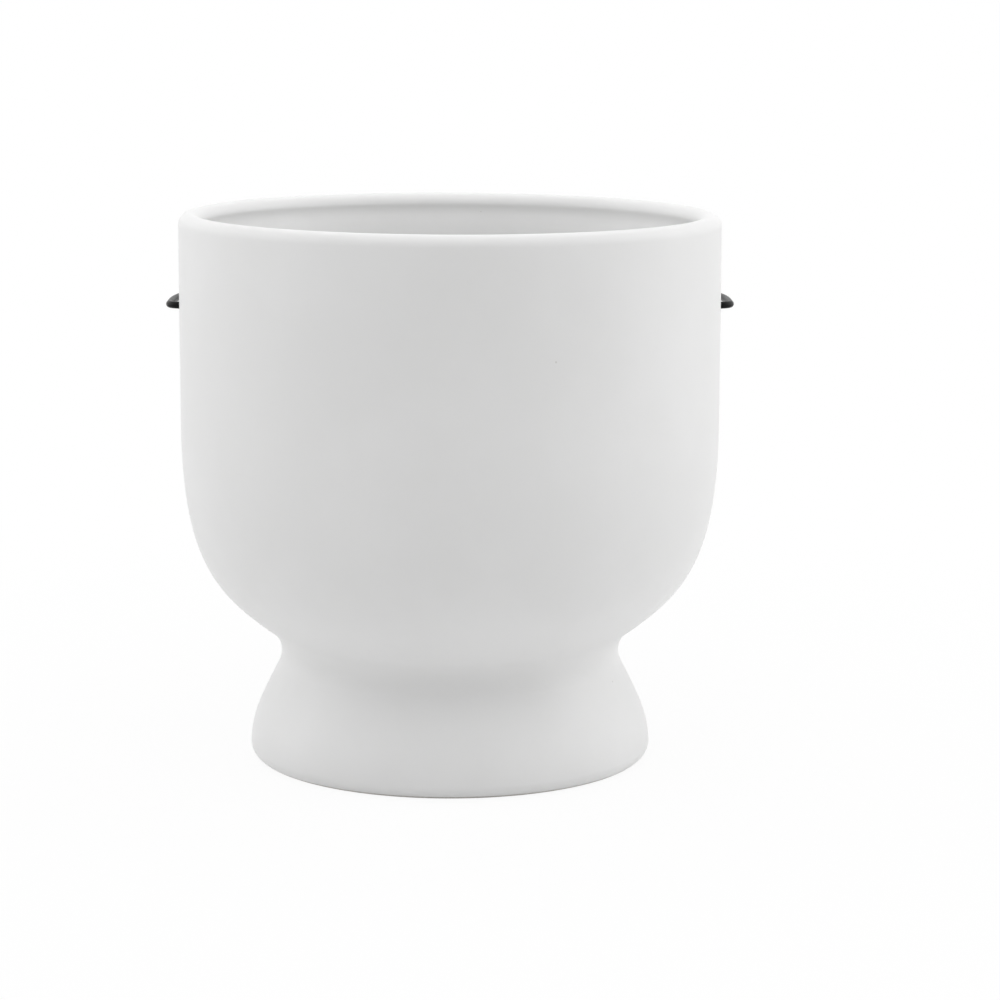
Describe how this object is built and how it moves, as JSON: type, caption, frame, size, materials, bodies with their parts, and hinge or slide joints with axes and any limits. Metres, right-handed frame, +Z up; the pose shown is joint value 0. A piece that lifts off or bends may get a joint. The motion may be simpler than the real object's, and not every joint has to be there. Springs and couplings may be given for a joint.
{
  "type": "face planter with wire glasses",
  "caption": "Footed ceramic plant pot with a rounded lip, a calm relief face with closed eyes, lift-up wire glasses hooked in at the sides, and a rubber drain stopper.",
  "frame": {"origin": "centre of the circle that the foot stands on, on the table", "axes": "+Z up along the pot's axis; the face looks towards -Y; +X is the face's own left"},
  "size_m": [0.1572, 0.1634, 0.153],
  "materials": {
    "matte_glaze": "matte white glaze",
    "black_wire": "satin black coated wire",
    "stopper_rubber": "soft matte"
  },
  "bodies": {
    "planter": {"bowl_base": "matte_glaze", "bowl_wall": "matte_glaze", "pedestal_foot": "matte_glaze", "nose": "matte_glaze", "upper_lip": "matte_glaze", "lower_lip": "matte_glaze", "left_eyelid": "matte_glaze", "right_eyelid": "matte_glaze"},
    "glasses": {"left_lens_rim": "black_wire", "right_lens_rim": "black_wire", "glasses_bridge": "black_wire", "left_temple": "black_wire", "right_temple": "black_wire"},
    "stopper": {"drain_stopper": "stopper_rubber"}
  },
  "joints": [
    {"name": "glasses_tilt", "type": "hinge", "parent": "planter", "child": "glasses", "pos_m": [0, 0.006, 0.1278], "axis": [-1, 0, 0], "range_deg": [0, 20]},
    {"name": "stopper_pull", "type": "slide", "parent": "planter", "child": "stopper", "axis": [0, 0, -1], "range_m": [0, 0.02]}
  ]
}
